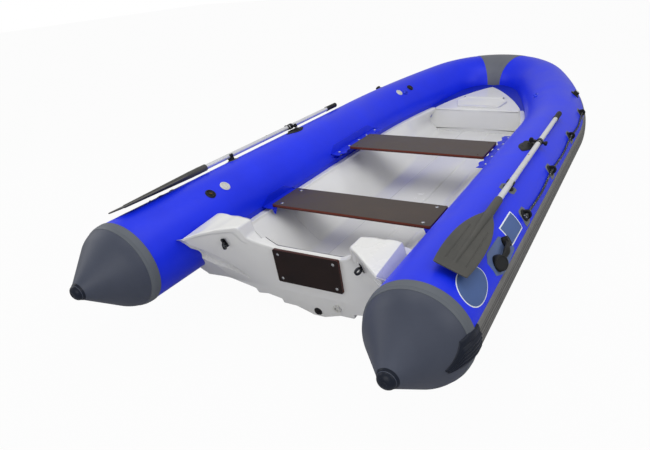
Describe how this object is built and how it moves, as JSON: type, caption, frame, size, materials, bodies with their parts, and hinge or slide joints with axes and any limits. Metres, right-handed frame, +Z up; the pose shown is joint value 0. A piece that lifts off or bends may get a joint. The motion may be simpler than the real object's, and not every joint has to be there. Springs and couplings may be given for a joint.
{
  "type": "rigid inflatable boat",
  "caption": "Open rigid inflatable tender: moulded V hull with a motor transom, horseshoe buoyancy tube, plank benches, a bow locker and stowed oars.",
  "frame": {"origin": "centreline, amidships, in the plane of the light waterline", "axes": "+X to starboard, +Y to the bow, +Z up"},
  "size_m": [2.042, 4.61, 0.756],
  "materials": {
    "gelcoat_white": "satin",
    "stainless": "polished",
    "pvc_blue": "semi-gloss coated fabric",
    "pvc_slate": "semi-matte coated fabric",
    "rubber_navy": "matte",
    "rubber_grey": "matte extruded",
    "plywood_dark": "phenolic film",
    "plywood_brown": "phenolic film",
    "polyamide_black": "moulded",
    "cap_white": "moulded",
    "aluminium": "anodised",
    "blade_grey": "moulded",
    "rubber_black": "moulded"
  },
  "bodies": {
    "boat": {"hull": "gelcoat_white", "foredeck": "gelcoat_white", "transom": "gelcoat_white", "locker_hinges": "stainless", "tube_port": "pvc_blue", "tube_starboard": "pvc_blue", "bow_patch": "pvc_slate", "tail_cone_port": "pvc_slate", "tail_cone_starboard": "pvc_slate", "cone_cap_port": "rubber_navy", "cone_cap_starboard": "rubber_navy", "rub_strake_port": "rubber_grey", "rub_strake_starboard": "rubber_grey", "transom_board": "plywood_dark", "bench_aft": "plywood_brown", "bench_forward": "plywood_brown", "bench_aft_flaps": "pvc_blue", "bench_forward_flaps": "pvc_blue", "carry_handles": "polyamide_black", "grab_line_eyes": "polyamide_black", "valve_dark_caps": "polyamide_black", "valve_light_caps": "cap_white", "drain_plug": "polyamide_black", "drain_outlet": "cap_white", "stern_eyes": "stainless", "bow_eye": "stainless", "oarlock_base_port": "polyamide_black", "oar_clip_port": "rubber_black", "oarlock_base_starboard": "polyamide_black", "oar_clip_starboard": "rubber_black"},
    "locker_lid": {"bow_locker_lid": "gelcoat_white"},
    "oar_port": {"oar_shaft_port": "aluminium", "oar_grip_port": "polyamide_black", "oar_blade_port": "blade_grey", "oar_clamp_port": "polyamide_black"},
    "oar_starboard": {"oar_shaft_starboard": "aluminium", "oar_grip_starboard": "polyamide_black", "oar_blade_starboard": "blade_grey", "oar_clamp_starboard": "polyamide_black"}
  },
  "joints": [
    {"name": "locker_lid_hinge", "type": "hinge", "parent": "boat", "child": "locker_lid", "pos_m": [0, 1.51496, 0.34335], "axis": [-1, 0, 0], "range_deg": [0, 100]},
    {"name": "oar_starboard_pivot", "type": "hinge", "parent": "boat", "child": "oar_starboard", "pos_m": [0.82838, -0.365, 0.52764], "axis": [0.1736, 0, 0.9848], "range_deg": [0, 105]},
    {"name": "oar_port_pivot", "type": "hinge", "parent": "boat", "child": "oar_port", "pos_m": [-0.82838, -0.365, 0.52764], "axis": [0.1736, 0, -0.9848], "range_deg": [0, 105]}
  ]
}
